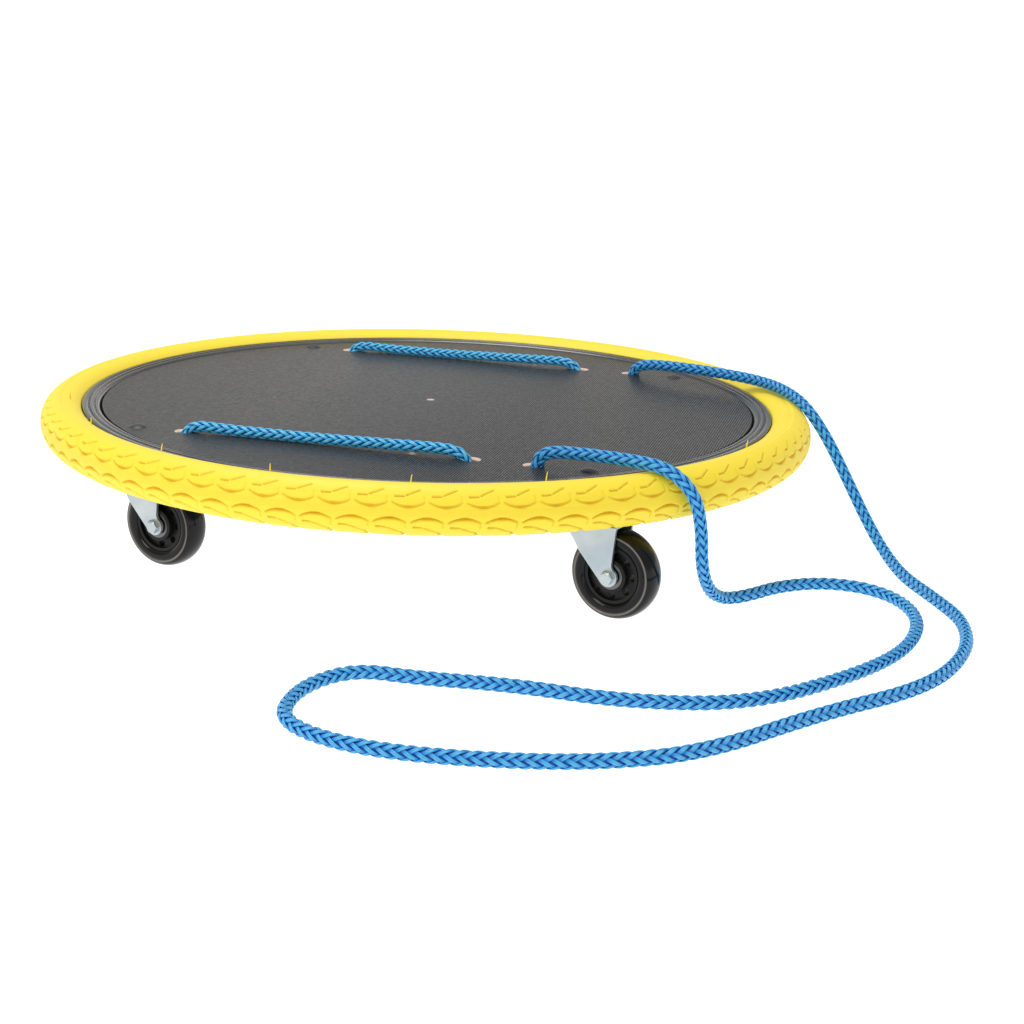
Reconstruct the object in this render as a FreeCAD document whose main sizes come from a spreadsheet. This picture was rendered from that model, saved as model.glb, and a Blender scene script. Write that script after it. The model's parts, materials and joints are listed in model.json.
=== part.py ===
import FreeCAD, Part
import math
import os

import Sketcher

# A round roller board: a plywood deck in a bicycle rim and tyre, on four swivel casters, with
# two handle ropes across the deck and a long pull rope. Millimetres. The origin is on the
# floor under the deck's centre, +Z up, and the pull rope leaves towards +X.

V = FreeCAD.Vector
UP = V(0, 0, 1)

doc = FreeCAD.newDocument("roller_board")

# ---------------------------------------------------------------- driving dimensions

SIZES = {
    # deck
    "deck_radius": 299.0,
    "deck_under": 93.0,
    "deck_height": 23.4,
    "film_height": 0.6,
    "centre_hole_radius": 3.75,
    "side_hole_radius": 4.0,
    "side_hole_offset": 48.0,
    "rope_hole_radius": 8.0,
    # rim and tyre
    "wheel_mid": 105.0,
    "tyre_ring": 332.5,
    "tyre_section": 20.5,
    "casing_thick": 3.0,
    "rim_half": 14.0,
    "rim_wall": 1.8,
    "rim_outer": 316.5,
    "rim_bed": 299.4,
    "bed_thick": 2.2,
    "rim_shoulder": 303.5,
    "bed_half": 8.5,
    "bead_gap": 0.2,
    "bead_inner": 306.0,
    "tube_section": 17.3,
    "tube_wall": 1.0,
    "valve_radius": 4.1,
    "valve_length": 36.0,
    "notch_half": 9.0,
    "notch_depth": 24.0,
    "notch_height": 18.0,
    "screw_count": 10.0,
    "screw_radius": 2.0,
    "screw_head_radius": 4.0,
    "screw_length": 22.0,
    # casters
    "caster_x": 196.5,
    "caster_y": 205.0,
    "caster_trail": 29.0,
    "bolt_radius": 5.0,
    "bolt_head_radius": 8.0,
    "bolt_head_height": 2.2,
    "bolt_end": 72.8,
    "running_gap": 0.06,
    "race_radius": 23.5,
    "race_wall": 1.6,
    "race_boss": 13.0,
    "race_top": 90.7,
    "race_floor": 88.9,
    "race_skirt": 84.9,
    "ball_radius": 2.2,
    "ball_ring": 17.5,
    "ball_count": 20.0,
    "ball_gap": 0.1,
    "fork_top": 84.4,
    "fork_sheet": 2.5,
    "fork_disc": 21.3,
    "fork_neck": 15.7,
    "web_top": 80.0,
    "leg_inner": 13.2,
    "ear_radius": 8.0,
    "leg_back": 34.5,
    "leg_waist": 31.9,
    "waist_height": 49.5,
    "leg_elbow": 2.0,
    "elbow_height": 55.5,
    "lean_middle": -6.6,
    "lean_height": 68.5,
    "nut_width": 16.0,
    "nut_height": 8.0,
    # wheels
    "wheel_radius": 37.5,
    "wheel_half": 12.0,
    "hub_radius": 23.5,
    "hub_half": 9.5,
    "hub_rim": 2.6,
    "hub_core": 14.0,
    "window_radius": 3.1,
    "window_ring": 17.5,
    "window_count": 8.0,
    "bearing_radius": 11.0,
    "bearing_bore": 4.0,
    "bearing_width": 7.0,
    "bearing_offset": 4.9,
    "axle_radius": 3.0,
    "flange_radius": 6.0,
    "axle_nut_width": 10.0,
    "axle_nut_height": 4.4,
    # ropes
    "rope_radius": 5.0,
    "handle_rear": -154.0,
    "handle_front": 99.0,
    "handle_y": 205.0,
    "pull_x": 150.0,
    "pull_lean": 2.0,
    "hole_bend": 9.0,
    "rope_join": 105.0,
    "knot_length": 46.0,
    "knot_width": 30.0,
    "knot_height": 26.0,
}

sheet = doc.addObject("Spreadsheet::Sheet", "Sizes")
for row, (alias, value) in enumerate(SIZES.items(), start=1):
    sheet.set("A%d" % row, alias)
    sheet.set("B%d" % row, str(value))
    sheet.setAlias("B%d" % row, alias)
doc.recompute()


def size(alias):
    """A driving dimension, read back from the sheet."""
    return float(sheet.get(alias))


subparts = {}


def keep(obj, name):
    """Name a finished object as one sub-part."""
    obj.Label = name
    subparts[name] = obj
    return obj


def bind(obj, **expressions):
    """Bind properties of an object to expressions on the sheet."""
    for prop, expression in expressions.items():
        obj.setExpression(prop, expression.replace("$", "Sizes."))
    return obj


def cylinder(name, radius, height, x=None, y=None, z=None):
    obj = doc.addObject("Part::Cylinder", name)
    bind(obj, Radius=radius, Height=height)
    for axis, expression in (("x", x), ("y", y), ("z", z)):
        if expression:
            obj.setExpression("Placement.Base." + axis, expression.replace("$", "Sizes."))
    return obj


def cut(name, base, tool):
    obj = doc.addObject("Part::Cut", name)
    obj.Base = base
    obj.Tool = tool
    return obj


def joined(name, objs):
    obj = doc.addObject("Part::MultiFuse", name)
    obj.Shapes = objs
    return obj


def shaped(name, shape, placement=None):
    """A free-form sub-part whose shape was worked out from the sheet's values."""
    obj = doc.addObject("Part::Feature", name)
    obj.Shape = shape
    if placement:
        obj.Placement = placement
    return keep(obj, name)


# ---------------------------------------------------------------- revolved bodies


def revolved_body(name, outline):
    """A PartDesign body turned about Z from an outline of (x, z) expressions in the XZ plane."""
    body = doc.addObject("PartDesign::Body", name + "_body")
    sketch = body.newObject("Sketcher::SketchObject", name + "_outline")
    plane = [f for f in body.Origin.OriginFeatures if f.Role == "XZ_Plane"][0]
    sketch.AttachmentSupport = [(plane, "")]
    sketch.MapMode = "FlatFace"
    points = [V(value_of(x), value_of(z), 0) for x, z in outline]
    count = len(points)
    for i, point in enumerate(points):
        sketch.addGeometry(Part.LineSegment(point, points[(i + 1) % count]))
    for i, (x, z) in enumerate(outline):
        sketch.addConstraint(Sketcher.Constraint("Coincident", i, 2, (i + 1) % count, 1))
        for kind, expression, number in (("DistanceX", x, points[i].x), ("DistanceY", z, points[i].y)):
            at = sketch.addConstraint(Sketcher.Constraint(kind, i, 1, number))
            label = "%s%d" % (kind.lower(), i)
            sketch.renameConstraint(at, label)
            sketch.setExpression("Constraints." + label, expression.replace("$", "Sizes."))
    turn = body.newObject("PartDesign::Revolution", name + "_turn")
    turn.Profile = sketch
    turn.ReferenceAxis = (sketch, ["V_Axis"])
    turn.Angle = 360.0
    sketch.Visibility = False
    body.Tip = turn
    return body


def value_of(expression):
    """Work out a sheet expression of sums, differences and products."""
    total = 0.0
    for term in expression.replace("- ", "+ -").split("+ "):
        term = term.strip()
        if not term:
            continue
        sign = -1.0 if term.startswith("-") else 1.0
        product = sign
        for factor in term.lstrip("-").split("*"):
            factor = factor.strip()
            product *= size(factor[1:]) if factor.startswith("$") else float(factor)
        total += product
    return total


# ---------------------------------------------------------------- deck


def drilled(name, bottom, height):
    """A round board with the deck's holes, as a plain cylinder less its drillings."""
    board = cylinder(name + "_board", "$deck_radius", height, z=bottom)
    drills = []

    def drill(tag, radius, x, y):
        tool = cylinder("%s_%s" % (name, tag), radius, height + " + 2", z=bottom + " - 1")
        if x:
            tool.setExpression("Placement.Base.x", x.replace("$", "Sizes."))
        if y:
            tool.setExpression("Placement.Base.y", y.replace("$", "Sizes."))
        drills.append(tool)

    drill("centre", "$centre_hole_radius", None, None)
    for side, word in ((1, "left"), (-1, "right")):
        y = "%d * $handle_y" % side
        drill("side_" + word, "$side_hole_radius", "$side_hole_offset", y)
        for along in ("handle_rear", "handle_front", "pull_x"):
            drill("%s_%s" % (along, word), "$rope_hole_radius", "$" + along, y)
        for end, ending in ((1, "front"), (-1, "rear")):
            drill("caster_%s_%s" % (ending, word), "$bolt_radius + $running_gap",
                  "%d * $caster_x" % end, "%d * $caster_y" % side)
    return cut(name, board, joined(name + "_drills", drills))


def build_deck():
    """The plywood, notched underneath for the tyre's valve, and its anti-slip film."""
    board = drilled("deck_blank", "$deck_under", "$deck_height")
    notch = doc.addObject("Part::Box", "valve_notch")
    bind(notch, Length="$notch_depth + 2", Width="2 * $notch_half", Height="$notch_height + 1")
    bind(notch, **{"Placement.Base.x": "-$deck_radius - 2", "Placement.Base.y": "-$notch_half",
                   "Placement.Base.z": "$deck_under - 1"})
    keep(cut("deck", board, notch), "deck")
    keep(drilled("deck_film", "$deck_under + $deck_height", "$film_height"), "deck_film")


# ---------------------------------------------------------------- rim and tyre


def build_rim():
    """A single-wall alloy channel, open outwards, whose bed lies round the deck's edge."""
    high = "$wheel_mid + "
    low = "$wheel_mid - "
    inner_bed = "$rim_bed + $bed_thick"
    inner_side = "$rim_half - $rim_wall"
    inner_low = "$rim_half + $rim_wall"
    channel = revolved_body("rim_channel", [
        ("$rim_bed", low + "$bed_half"),
        ("$rim_bed", high + "$bed_half"),
        ("$rim_shoulder", high + "$rim_half"),
        ("$rim_outer", high + "$rim_half"),
        ("$rim_outer", high + inner_side),
        ("$rim_shoulder + 1.0", high + inner_side),
        (inner_bed, high + "$bed_half - 0.8"),
        (inner_bed, low + "$bed_half + 0.8"),
        ("$rim_shoulder + 1.0", low + inner_low),
        ("$rim_outer", low + inner_low),
        ("$rim_outer", low + "$rim_half"),
        ("$rim_shoulder", low + "$rim_half"),
    ])
    hole = doc.addObject("Part::Cylinder", "valve_hole")
    bind(hole, Radius="$valve_radius + 0.2", Height="20")
    hole.Placement = FreeCAD.Placement(V(0, 0, 0), FreeCAD.Rotation(V(0, 1, 0), -90))
    bind(hole, **{"Placement.Base.x": "-$rim_bed + 8", "Placement.Base.z": "$wheel_mid"})
    keep(cut("rim", channel, hole), "rim")


def build_tyre():
    """A balloon casing: round outside, hollow, with two beads in the rim's channel."""
    mid, section, casing = size("wheel_mid"), size("tyre_section"), size("casing_thick")
    ring = size("tyre_ring")
    cavity = section - casing
    lip = size("rim_outer") + 0.5
    bead_half = size("rim_half") - size("rim_wall") - size("bead_gap")
    lip_half = math.sqrt(section ** 2 - (ring - lip) ** 2)
    mouth = ring - 14.5
    mouth_half = math.sqrt(cavity ** 2 - (ring - mouth) ** 2)
    bead = size("bead_inner")
    half = [(lip, lip_half), (lip, bead_half), (bead + 2.0, bead_half), (bead, bead_half - 2.2),
            (bead + 3.0, mouth_half - 1.0), (mouth, mouth_half)]

    def at(r, dz):
        return V(r, 0, mid + dz)

    upper = [at(r, dz) for r, dz in half]
    lower = [at(r, -dz) for r, dz in half]
    edges = [Part.LineSegment(a, b).toShape() for a, b in zip(upper, upper[1:])]
    edges.append(Part.Arc(upper[-1], at(ring + cavity, 0), lower[-1]).toShape())
    edges += [Part.LineSegment(a, b).toShape() for a, b in zip(lower, lower[1:])]
    edges.append(Part.Arc(lower[0], at(ring + section, 0), upper[0]).toShape())
    face = Part.Face(Part.Wire(Part.__sortEdges__(edges)))
    return shaped("tyre", face.revolve(V(0, 0, 0), UP, 360))


def build_inner_tube():
    outer = doc.addObject("Part::Torus", "tube_outside")
    bind(outer, Radius1="$tyre_ring", Radius2="$tube_section")
    outer.setExpression("Placement.Base.z", "Sizes.wheel_mid")
    inner = doc.addObject("Part::Torus", "tube_inside")
    bind(inner, Radius1="$tyre_ring", Radius2="$tube_section - $tube_wall")
    inner.setExpression("Placement.Base.z", "Sizes.wheel_mid")
    return keep(cut("inner_tube", outer, inner), "inner_tube")


def build_rim_screws():
    """Wood screws through the rim's bed into the deck's edge, evenly round it."""
    count = int(size("screw_count"))
    bed = size("rim_bed") + size("bed_thick")
    screws = []
    for i in range(count):
        turn = 2 * math.pi * (i + 0.5) / count
        out = V(math.cos(turn), math.sin(turn), 0)
        seat = out * bed + UP * size("wheel_mid")
        shank = Part.makeCylinder(size("screw_radius"), size("screw_length"), seat, out * -1.0)
        head = Part.makeCone(size("screw_head_radius"), size("screw_head_radius") * 0.6, 1.8, seat, out)
        screws.append(shank.fuse(head))
    return shaped("rim_screws", Part.Compound(screws))


# ---------------------------------------------------------------- casters


def hexagon(width, height, chamfer):
    """A hexagon prism on the XY plane, with its upper corners turned off."""
    corner = width / math.sqrt(3.0)
    points = [V(corner * math.cos(math.radians(60 * i)), corner * math.sin(math.radians(60 * i)), 0)
              for i in range(7)]
    prism = Part.Face(Part.makePolygon(points)).extrude(UP * height)
    blank = Part.makeCylinder(corner, height - chamfer)
    top = Part.makeCone(corner, corner - chamfer * 1.9, chamfer, V(0, 0, height - chamfer))
    return prism.common(blank.fuse(top).removeSplitter())


def turned(points):
    """A solid turned about Z from (radius, height) points."""
    corners = [V(r, 0, h) for r, h in points]
    corners.append(corners[0])
    return Part.Face(Part.makePolygon(corners)).revolve(V(0, 0, 0), UP, 360)


def swivel_bolt_shape():
    """A low domed head on the deck and a plain shank down through the fork."""
    top = size("deck_under") + size("deck_height") + size("film_height")
    head, rise = size("bolt_head_radius"), size("bolt_head_height")
    dome_radius = (head ** 2 + rise ** 2) / (2 * rise)
    dome = Part.makeSphere(dome_radius, V(0, 0, top + rise - dome_radius))
    dome = dome.common(Part.makeCylinder(head, rise, V(0, 0, top)))
    shank = Part.makeCylinder(size("bolt_radius"), top - size("bolt_end") + 1.0, V(0, 0, size("bolt_end")))
    return dome.fuse(shank).removeSplitter()


def top_race_shape():
    """The fixed cup under the deck: a raised boss, a flat floor and a skirt round the balls."""
    bore = size("bolt_radius") + size("running_gap")
    edge, wall = size("race_radius"), size("race_wall")
    boss, top = size("race_boss"), size("race_top")
    return turned([(bore, size("race_floor")), (edge - wall, size("race_floor")),
                   (edge - wall, size("race_skirt")), (edge, size("race_skirt")),
                   (edge, top - 1.0), (edge - 1.0, top), (boss, top),
                   (boss - 1.0, size("deck_under")), (bore, size("deck_under"))])


def balls_shape():
    count = int(size("ball_count"))
    height = size("race_floor") - size("ball_radius")
    ring = size("ball_ring")
    return Part.Compound([
        Part.makeSphere(size("ball_radius"), V(ring * math.cos(2 * math.pi * i / count),
                                               ring * math.sin(2 * math.pi * i / count), height))
        for i in range(count)])


def fork_shape():
    """A pressed fork: a dished race on a web, with a leg each side of the wheel.

    The legs lean back along +X to the axle, from a wide top to a round ear.
    """
    sheet_thick, inner = size("fork_sheet"), size("leg_inner")
    outer = inner + sheet_thick
    top, web = size("fork_top"), size("web_top")
    web_under = web - sheet_thick
    trail, axle, ear = size("caster_trail"), size("wheel_radius"), size("ear_radius")
    bore = size("bolt_radius") + size("running_gap")
    disc, neck = size("fork_disc"), size("fork_neck")
    under = top - sheet_thick
    dish = turned([(bore, top), (disc, top), (disc, under), (neck + 2.0, under - 0.6), (neck, web),
                   (neck, web_under), (inner, web_under), (inner, web + 0.6), (inner - 1.5, under),
                   (bore, under)])
    front, back = -outer, size("leg_back")
    plate = Part.makeBox(back - front, 2 * outer, sheet_thick, V(front, -outer, web_under))
    plate = plate.cut(Part.makeCylinder(inner, 3 * sheet_thick, V(0, 0, web_under - sheet_thick)))

    def on_ear(degrees):
        turn = math.radians(degrees)
        return V(trail + ear * math.cos(turn), 0, axle + ear * math.sin(turn))

    elbow = V(size("leg_elbow"), 0, size("elbow_height"))
    reach = V(trail, 0, axle) - elbow
    slope = math.degrees(math.atan2(reach.z, reach.x))
    touch = slope + 180 + math.degrees(math.acos(ear / reach.Length))
    waist = V(size("leg_waist"), 0, size("waist_height"))
    neck_end = 35.0
    lean_middle = V(size("lean_middle"), 0, size("lean_height"))
    corners = [V(back, 0, web_under), V(back, 0, web), V(front, 0, web), V(front, 0, web_under)]
    outline = [Part.Arc(corners[3], lean_middle, elbow).toShape(),
               Part.LineSegment(elbow, on_ear(touch)).toShape(),
               Part.Arc(on_ear(touch), on_ear((touch + 360 + neck_end) / 2), on_ear(neck_end)).toShape(),
               Part.Arc(on_ear(neck_end), V(waist.x + 0.4, 0, waist.z - 4.2), waist).toShape(),
               Part.LineSegment(waist, corners[0]).toShape()]
    outline += [Part.LineSegment(a, b).toShape() for a, b in zip(corners, corners[1:])]
    leg_face = Part.Face(Part.Wire(outline))
    hole = Part.makeCylinder(size("axle_radius") + 0.05, 4 * outer, V(trail, -2 * outer, axle), V(0, 1, 0))
    legs = []
    for start in (-outer, inner):
        face = moved(leg_face, FreeCAD.Placement(V(0, start, 0), FreeCAD.Rotation()))
        legs.append(face.extrude(V(0, sheet_thick, 0)).cut(hole))
    channel = plate.fuse(legs).removeSplitter()
    bends = [e for e in channel.Edges
             if e.BoundBox.ZMin > web - 1e-3 and e.BoundBox.YLength < 1e-3
             and abs(abs(e.BoundBox.YMax) - outer) < 1e-3]
    return channel.makeFillet(2.0, bends).fuse(dish).removeSplitter()


def moved(shape, place):
    """A copy whose own geometry has moved, so that a Placement can still be given to it."""
    return shape.transformed(place.toMatrix(), True)


def along_axle(shape, start):
    """Stand a shape made along +Z on the axle line, beginning at a distance along -Y."""
    place = FreeCAD.Placement(V(size("caster_trail"), -start, size("wheel_radius")),
                              FreeCAD.Rotation(V(1, 0, 0), 90))
    return moved(shape, place)


def upside_down(shape, height):
    """Turn a shape made upwards from the XY plane to hang down from a height."""
    return moved(shape, FreeCAD.Placement(V(0, 0, height), FreeCAD.Rotation(V(1, 0, 0), 180)))


def axle_bolt_shape():
    """A hexagon head against the outer face of the ear that the axle's +direction meets."""
    ear = size("leg_inner") + size("fork_sheet")
    head = hexagon(size("axle_nut_width"), size("axle_nut_height"), 1.0)
    shank = Part.makeCylinder(size("axle_radius"), 2 * ear + size("axle_nut_height") + 2.0,
                              V(0, 0, -2 * ear - size("axle_nut_height") - 2.0))
    return along_axle(head.fuse(shank).removeSplitter(), ear)


def axle_nut_shape():
    ear = size("leg_inner") + size("fork_sheet")
    nut = hexagon(size("axle_nut_width"), size("axle_nut_height"), 1.0)
    nut = nut.cut(Part.makeCylinder(size("axle_radius"), size("axle_nut_height")))
    return along_axle(upside_down(nut, 0), -ear)


def axle_sleeve_shape():
    """The spacer on the axle: a tube in the bearings, with a collar against each ear."""
    half = size("leg_inner")
    inside = size("axle_radius") + 0.02
    seat = size("bearing_bore") - size("running_gap")
    collar, wide = size("flange_radius"), size("wheel_half") + 0.15
    sleeve = turned([(inside, -half), (collar, -half), (collar, -wide), (seat, -wide),
                     (seat, wide), (collar, wide), (collar, half), (inside, half)])
    return along_axle(sleeve, 0.0)


def bearings_shape():
    """Two ball bearings, each a shielded ring with a shallow step on both faces."""
    bore, outside, width = size("bearing_bore"), size("bearing_radius"), size("bearing_width")
    step = 0.35
    ring = [(bore, 0), (bore + 2.1, 0), (bore + 2.1, step), (outside - 2.0, step), (outside - 2.0, 0),
            (outside, 0), (outside, width), (outside - 2.0, width), (outside - 2.0, width - step),
            (bore + 2.1, width - step), (bore + 2.1, width), (bore, width)]
    pair = []
    for start in (size("bearing_offset"), -size("bearing_offset") - width):
        pair.append(turned([(r, h + start) for r, h in ring]))
    return along_axle(Part.Compound(pair), 0.0)


def wheel_hub_shape():
    """A moulded hub: a rim and a core joined by a web with a ring of round windows."""
    rim, half, thick, core = size("hub_radius"), size("hub_half"), size("hub_rim"), size("hub_core")
    seat, stop = size("bearing_radius"), size("bearing_offset")
    web_half, wide = half - 3.5, size("wheel_half") - 0.1
    hub = turned([(seat - 2.5, -stop), (seat, -stop), (seat, -wide), (core, -wide), (core, -web_half),
                  (rim - thick, -web_half), (rim - thick, -half), (rim, -half), (rim, half),
                  (rim - thick, half), (rim - thick, web_half), (core, web_half), (core, wide),
                  (seat, wide), (seat, stop), (seat - 2.5, stop)])
    count = int(size("window_count"))
    for i in range(count):
        turn = 2 * math.pi * i / count
        at = V(size("window_ring") * math.cos(turn), size("window_ring") * math.sin(turn), -half)
        hub = hub.cut(Part.makeCylinder(size("window_radius"), 2 * half, at))
    return along_axle(hub, 0.0)


def wheel_tyre_shape():
    """A cast tyre on the hub's rim, with a round tread and flat flanks."""
    bed, half = size("hub_radius"), size("hub_half")
    tread, wide = size("wheel_radius"), size("wheel_half")
    shoulder = tread - 5.5

    def at(r, h):
        return V(r, 0, h)

    flank = [at(bed, -half), at(bed + 2.0, -half - 1.2), at(bed + 4.0, -wide), at(shoulder - 1.5, -wide)]
    other = [V(p.x, 0, -p.z) for p in reversed(flank)]
    edges = [Part.LineSegment(a, b).toShape() for a, b in zip(flank, flank[1:])]
    edges.append(Part.Arc(flank[-1], at(tread - 2.1, -wide + 2.8), at(tread - 0.6, -wide + 6.5)).toShape())
    edges.append(Part.Arc(at(tread - 0.6, -wide + 6.5), at(tread, 0), at(tread - 0.6, wide - 6.5)).toShape())
    edges.append(Part.Arc(at(tread - 0.6, wide - 6.5), at(tread - 2.1, wide - 2.8), other[0]).toShape())
    edges += [Part.LineSegment(a, b).toShape() for a, b in zip(other, other[1:])]
    edges.append(Part.LineSegment(other[-1], flank[0]).toShape())
    tyre = Part.Face(Part.Wire(edges)).revolve(V(0, 0, 0), UP, 360)
    return along_axle(tyre, 0.0)


def swivel_nut_shape():
    nut = hexagon(size("nut_width"), size("nut_height"), 1.2)
    nut = nut.cut(Part.makeCylinder(size("bolt_radius"), size("nut_height")))
    return upside_down(nut, size("fork_top") - size("fork_sheet") - size("ball_gap"))


CASTER_PIECES = {
    "caster_top_race": top_race_shape,
    "swivel_bolt": swivel_bolt_shape,
    "swivel_nut": swivel_nut_shape,
    "swivel_balls": balls_shape,
    "fork": fork_shape,
    "axle_bolt": axle_bolt_shape,
    "axle_nut": axle_nut_shape,
    "axle_sleeve": axle_sleeve_shape,
    "bearings": bearings_shape,
    "wheel_hub": wheel_hub_shape,
    "wheel_tyre": wheel_tyre_shape,
}

# The way each fork has swung, in degrees from trailing straight towards +X.
CASTER_SWING = {
    "front_left": (1, 1, -12.0),
    "front_right": (1, -1, -16.0),
    "rear_left": (-1, 1, -23.0),
    "rear_right": (-1, -1, -15.0),
}


def build_casters():
    shapes = {piece: make() for piece, make in CASTER_PIECES.items()}
    for corner, (end, side, swing) in CASTER_SWING.items():
        place = FreeCAD.Placement(V(end * size("caster_x"), side * size("caster_y"), 0),
                                  FreeCAD.Rotation(UP, swing))
        for piece, shape in shapes.items():
            shaped("%s_%s" % (piece, corner), shape, place)


# ---------------------------------------------------------------- ropes


def rounded_path(points, tight=None):
    """Straight runs joined by arcs, each as large as its two runs allow, or a stated one."""
    points = [V(*p) for p in points]
    edges, radii = [], []
    here = points[0]
    for before, corner, after in zip(points, points[1:], points[2:]):
        into, out = (corner - before), (after - corner)
        turn = into.getAngle(out)
        back_off = 0.45 * min(into.Length, out.Length)
        radius = back_off / math.tan(turn / 2)
        if tight and radius > tight:
            radius = tight
            back_off = radius * math.tan(turn / 2)
        start = corner - into.normalize() * back_off
        end = corner + out.normalize() * back_off
        inward = (start + end) * 0.5 - corner
        centre = corner + inward.normalize() * (radius / math.cos(turn / 2))
        middle = centre + (corner - centre).normalize() * radius
        edges.append(Part.LineSegment(here, start).toShape())
        edges.append(Part.Arc(start, middle, end).toShape())
        radii.append(radius)
        here = end
    edges.append(Part.LineSegment(here, points[-1]).toShape())
    return Part.Wire(edges), radii


def rope_tube(wire):
    """A round rope along a wire, checked against its section times its length."""
    radius = size("rope_radius")
    first = wire.Edges[0]
    start, heading = first.valueAt(first.FirstParameter), first.tangentAt(first.FirstParameter)
    section = Part.Wire([Part.makeCircle(radius, start, heading)])
    tube = wire.makePipeShell([section], True, False)
    expected = math.pi * radius ** 2 * wire.Length
    if abs(tube.Volume - expected) > 0.01 * expected:
        raise RuntimeError("rope volume %.0f against %.0f" % (tube.Volume, expected))
    return tube


def build_handle_ropes():
    """On each side a rope lies flat across the deck, and goes down a hole at both ends.

    At the rear it runs under the deck to the knot in the middle. At the front it runs on
    under the deck to the next hole, where it comes up again as the pull rope.
    """
    above = size("deck_under") + size("deck_height") + size("film_height") + size("rope_radius")
    below = size("deck_under") - size("rope_radius")
    rear, front = size("handle_rear"), size("handle_front")
    pull = size("pull_x") + size("pull_lean")
    for side, word in ((1, "left"), (-1, "right")):
        y = side * size("handle_y")
        points = [(rear, side * size("knot_length") * 0.3, below), (rear, y, below), (rear, y, above),
                  (front, y, above), (front, y, below), (pull, y, below), (pull, y, size("rope_join"))]
        wire, _ = rounded_path(points, size("hole_bend"))
        shaped("handle_rope_" + word, rope_tube(wire))


# The pull rope: both ends come up out of the deck, lie over the tyre and drop to the floor,
# and the loop between them lies on the floor beside the board.
PULL_ROPE = [
    (152, -205, 105), (153, -205, 120), (162, -206, 130), (190, -208, 131), (230, -217, 132),
    (263, -226, 131), (285, -226, 113), (291, -216, 82), (292, -210, 48), (296, -185, 21),
    (305, -152, 5), (323, -135, 5), (344, -102, 5), (378, -78, 5), (416, -78, 5), (447, -103, 5),
    (464, -153, 5), (456, -223, 5), (422, -291, 5), (355, -374, 5), (269, -400, 5), (188, -396, 5),
    (120, -406, 5), (73, -405, 5), (49, -445, 5), (51, -496, 5), (76, -522, 5), (128, -535, 5),
    (201, -527, 5), (276, -505, 5), (338, -466, 5), (401, -377, 5), (473, -300, 5), (501, -217, 5),
    (499, -142, 5), (473, -86, 5), (445, -34, 5), (425, 20, 11), (407, 41, 32), (387, 49, 65),
    (365, 54, 102), (344, 67, 126), (322, 104, 132), (290, 148, 132), (242, 172, 132), (195, 185, 132),
    (165, 198, 129), (153, 204, 120), (152, 205, 105),
]


def build_pull_rope():
    wire, radii = rounded_path(PULL_ROPE)
    print("pull rope length %.0f" % wire.Length)
    print("pull rope radii " + " ".join("%.0f" % r for r in radii))
    shaped("pull_rope", rope_tube(wire))


def build_knot():
    """The knot that ties the two rope ends together under the deck, as an egg shape."""
    place = V(size("handle_rear"), 0, size("deck_under") - size("knot_height") / 2)
    stretch = FreeCAD.Matrix()
    stretch.scale(V(size("knot_width") / 2, size("knot_length") / 2, size("knot_height") / 2))
    stretch.move(place)
    shaped("rope_knot", Part.makeSphere(1.0).transformGeometry(stretch))


def build_valve():
    """The inner tube's valve: from the tube in through the rim's bed and the deck's edge."""
    root = V(-(size("tyre_ring") - size("tube_section")) - 0.5, 0, size("wheel_mid"))
    stem = Part.makeCylinder(size("valve_radius"), size("valve_length") - 7.0, root, V(1, 0, 0))
    neck = Part.makeCylinder(size("valve_radius") - 0.9, size("valve_length"), root, V(1, 0, 0))
    shaped("valve", stem.fuse(neck).removeSplitter())


# ---------------------------------------------------------------- the whole board

build_deck()
build_rim()
build_tyre()
build_inner_tube()
build_valve()
build_rim_screws()
build_casters()
build_handle_ropes()
build_pull_rope()
build_knot()
doc.recompute()

bad = [o.Label for o in doc.Objects if {"Invalid", "Error"} & set(o.State)]
if bad:
    raise RuntimeError("failed objects: " + ", ".join(bad))
for name, obj in subparts.items():
    if obj.Shape.isNull() or not obj.Shape.isValid() or not obj.Shape.Solids:
        raise RuntimeError("bad shape: " + name)

os.makedirs("parts", exist_ok=True)
for name, obj in subparts.items():
    obj.Shape.exportStep(os.path.join("parts", name + ".step"))
print("%d sub-parts written" % len(subparts))
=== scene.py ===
"""The looks of the round roller board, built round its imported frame. Metres, +Z up."""
import json
import math
import random

import bpy
import numpy as np
from mathutils import Matrix, Vector


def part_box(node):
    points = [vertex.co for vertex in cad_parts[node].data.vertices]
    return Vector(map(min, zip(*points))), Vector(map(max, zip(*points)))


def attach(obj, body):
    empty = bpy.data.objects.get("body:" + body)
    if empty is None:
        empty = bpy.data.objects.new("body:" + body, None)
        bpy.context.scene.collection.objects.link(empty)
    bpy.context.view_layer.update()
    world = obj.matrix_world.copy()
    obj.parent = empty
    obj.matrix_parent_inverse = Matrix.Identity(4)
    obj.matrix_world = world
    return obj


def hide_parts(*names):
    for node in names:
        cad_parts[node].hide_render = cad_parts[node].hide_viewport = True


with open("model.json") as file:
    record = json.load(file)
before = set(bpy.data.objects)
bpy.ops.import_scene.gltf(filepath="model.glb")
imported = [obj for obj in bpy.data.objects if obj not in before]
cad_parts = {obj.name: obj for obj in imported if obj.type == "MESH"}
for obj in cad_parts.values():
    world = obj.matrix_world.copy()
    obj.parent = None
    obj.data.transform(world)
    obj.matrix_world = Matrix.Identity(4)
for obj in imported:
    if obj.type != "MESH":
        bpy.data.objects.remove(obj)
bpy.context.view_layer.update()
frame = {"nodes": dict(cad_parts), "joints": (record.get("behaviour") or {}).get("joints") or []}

MM = 0.001
CORNERS = ("front_left", "front_right", "rear_left", "rear_right")
JOINTS = {joint["name"]: joint for joint in frame["joints"]}

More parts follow.
